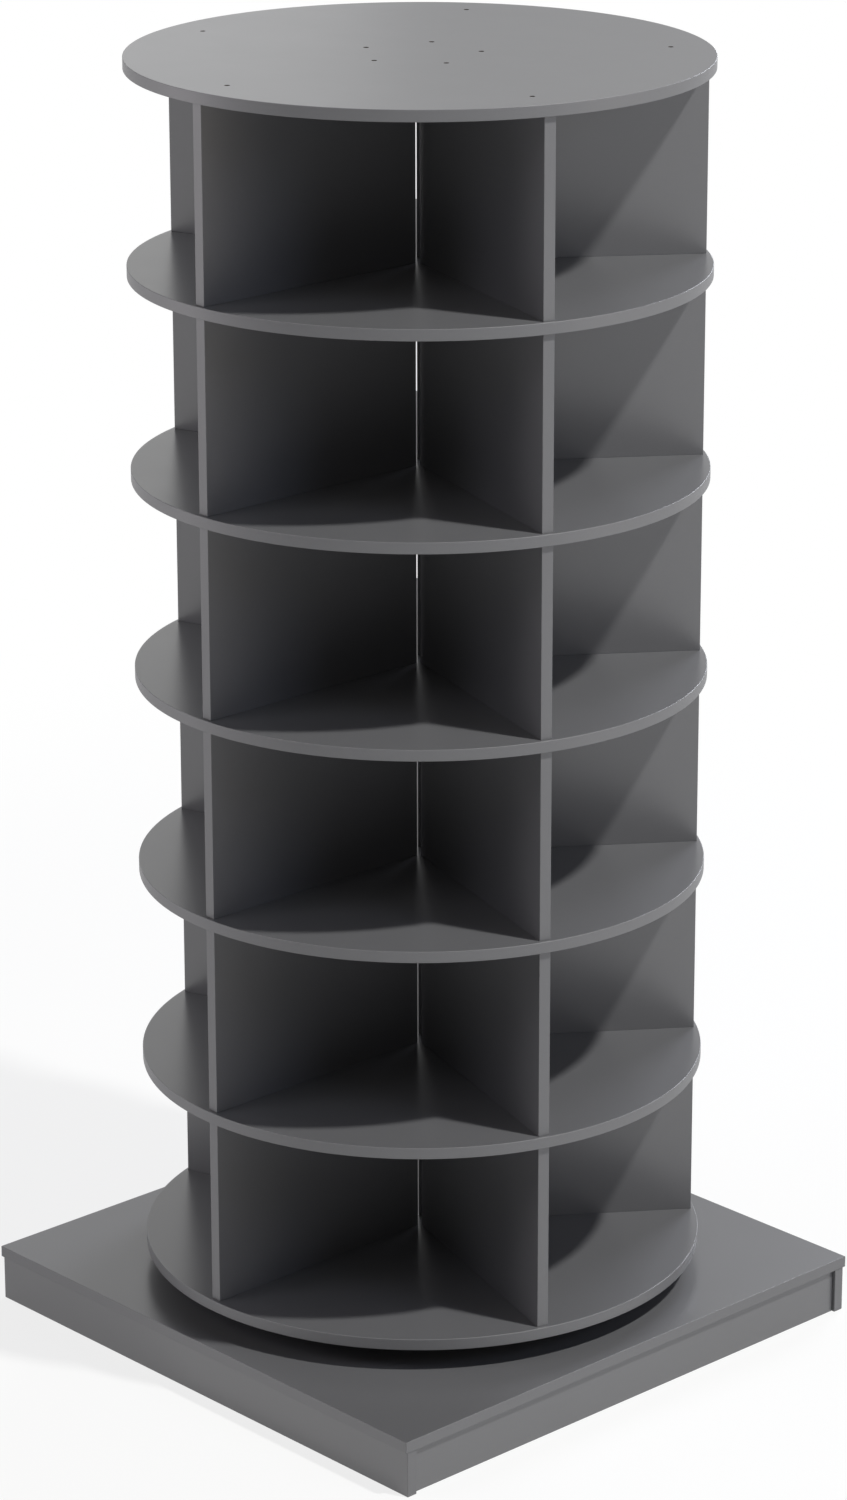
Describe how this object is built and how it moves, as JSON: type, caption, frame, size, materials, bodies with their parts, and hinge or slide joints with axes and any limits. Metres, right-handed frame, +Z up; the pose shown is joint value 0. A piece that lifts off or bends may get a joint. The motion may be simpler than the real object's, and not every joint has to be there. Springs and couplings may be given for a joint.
{
  "type": "rotating shoe tower",
  "caption": "Tall round tower of open wedge-shaped shoe compartments on a ring bearing above a square plinth.",
  "frame": {"origin": "on the floor, under the axis that the drum turns about, at the middle of the square plinth", "axes": "+Z up along the spin axis, +X along the front apron to the right, -Y towards the front apron"},
  "size_m": [0.8, 0.8, 1.693],
  "materials": {
    "grey_board": "smooth painted fibreboard in mid grey, low sheen",
    "bearing_aluminium": "machined, satin",
    "cage_plastic": "natural moulded plastic",
    "screw_black": "black phosphate"
  },
  "bodies": {
    "plinth": {"plinth_top_board": "grey_board", "front_apron": "grey_board", "rear_apron": "grey_board", "left_apron": "grey_board", "right_apron": "grey_board", "cross_rail": "grey_board", "long_rail": "grey_board", "bearing_outer_ring": "bearing_aluminium"},
    "drum": {"bearing_inner_ring": "bearing_aluminium", "spacer_disc": "grey_board", "bottom_disc": "grey_board", "shelf_disc_2": "grey_board", "shelf_disc_3": "grey_board", "shelf_disc_4": "grey_board", "shelf_disc_5": "grey_board", "shelf_disc_6": "grey_board", "top_disc": "grey_board", "tier_1_panel_1": "grey_board", "tier_1_panel_2": "grey_board", "tier_1_panel_3": "grey_board", "tier_1_panel_4": "grey_board", "tier_1_panel_5": "grey_board", "tier_2_panel_1": "grey_board", "tier_2_panel_2": "grey_board", "tier_2_panel_3": "grey_board", "tier_2_panel_4": "grey_board", "tier_2_panel_5": "grey_board", "tier_3_panel_1": "grey_board", "tier_3_panel_2": "grey_board", "tier_3_panel_3": "grey_board", "tier_3_panel_4": "grey_board", "tier_3_panel_5": "grey_board", "tier_4_panel_1": "grey_board", "tier_4_panel_2": "grey_board", "tier_4_panel_3": "grey_board", "tier_4_panel_4": "grey_board", "tier_4_panel_5": "grey_board", "tier_5_panel_1": "grey_board", "tier_5_panel_2": "grey_board", "tier_5_panel_3": "grey_board", "tier_5_panel_4": "grey_board", "tier_5_panel_5": "grey_board", "tier_6_panel_1": "grey_board", "tier_6_panel_2": "grey_board", "tier_6_panel_3": "grey_board", "tier_6_panel_4": "grey_board", "tier_6_panel_5": "grey_board", "outer_screw_1": "screw_black", "inner_screw_1": "screw_black", "outer_screw_2": "screw_black", "inner_screw_2": "screw_black", "outer_screw_3": "screw_black", "inner_screw_3": "screw_black", "outer_screw_4": "screw_black", "inner_screw_4": "screw_black", "outer_screw_5": "screw_black", "inner_screw_5": "screw_black"},
    "ball_cage": {"bearing_ball_cage": "cage_plastic"}
  },
  "joints": [
    {"name": "drum_spin", "type": "hinge", "parent": "plinth", "child": "drum", "pos_m": [0, 0, 0.0835], "axis": [0, 0, 1], "continuous": true},
    {"name": "cage_spin", "type": "hinge", "parent": "plinth", "child": "ball_cage", "pos_m": [0, 0, 0.0835], "axis": [0, 0, 1], "continuous": true}
  ],
  "couplings": [
    {"joint": "cage_spin", "follows": "drum_spin", "ratio": 0.4926}
  ]
}
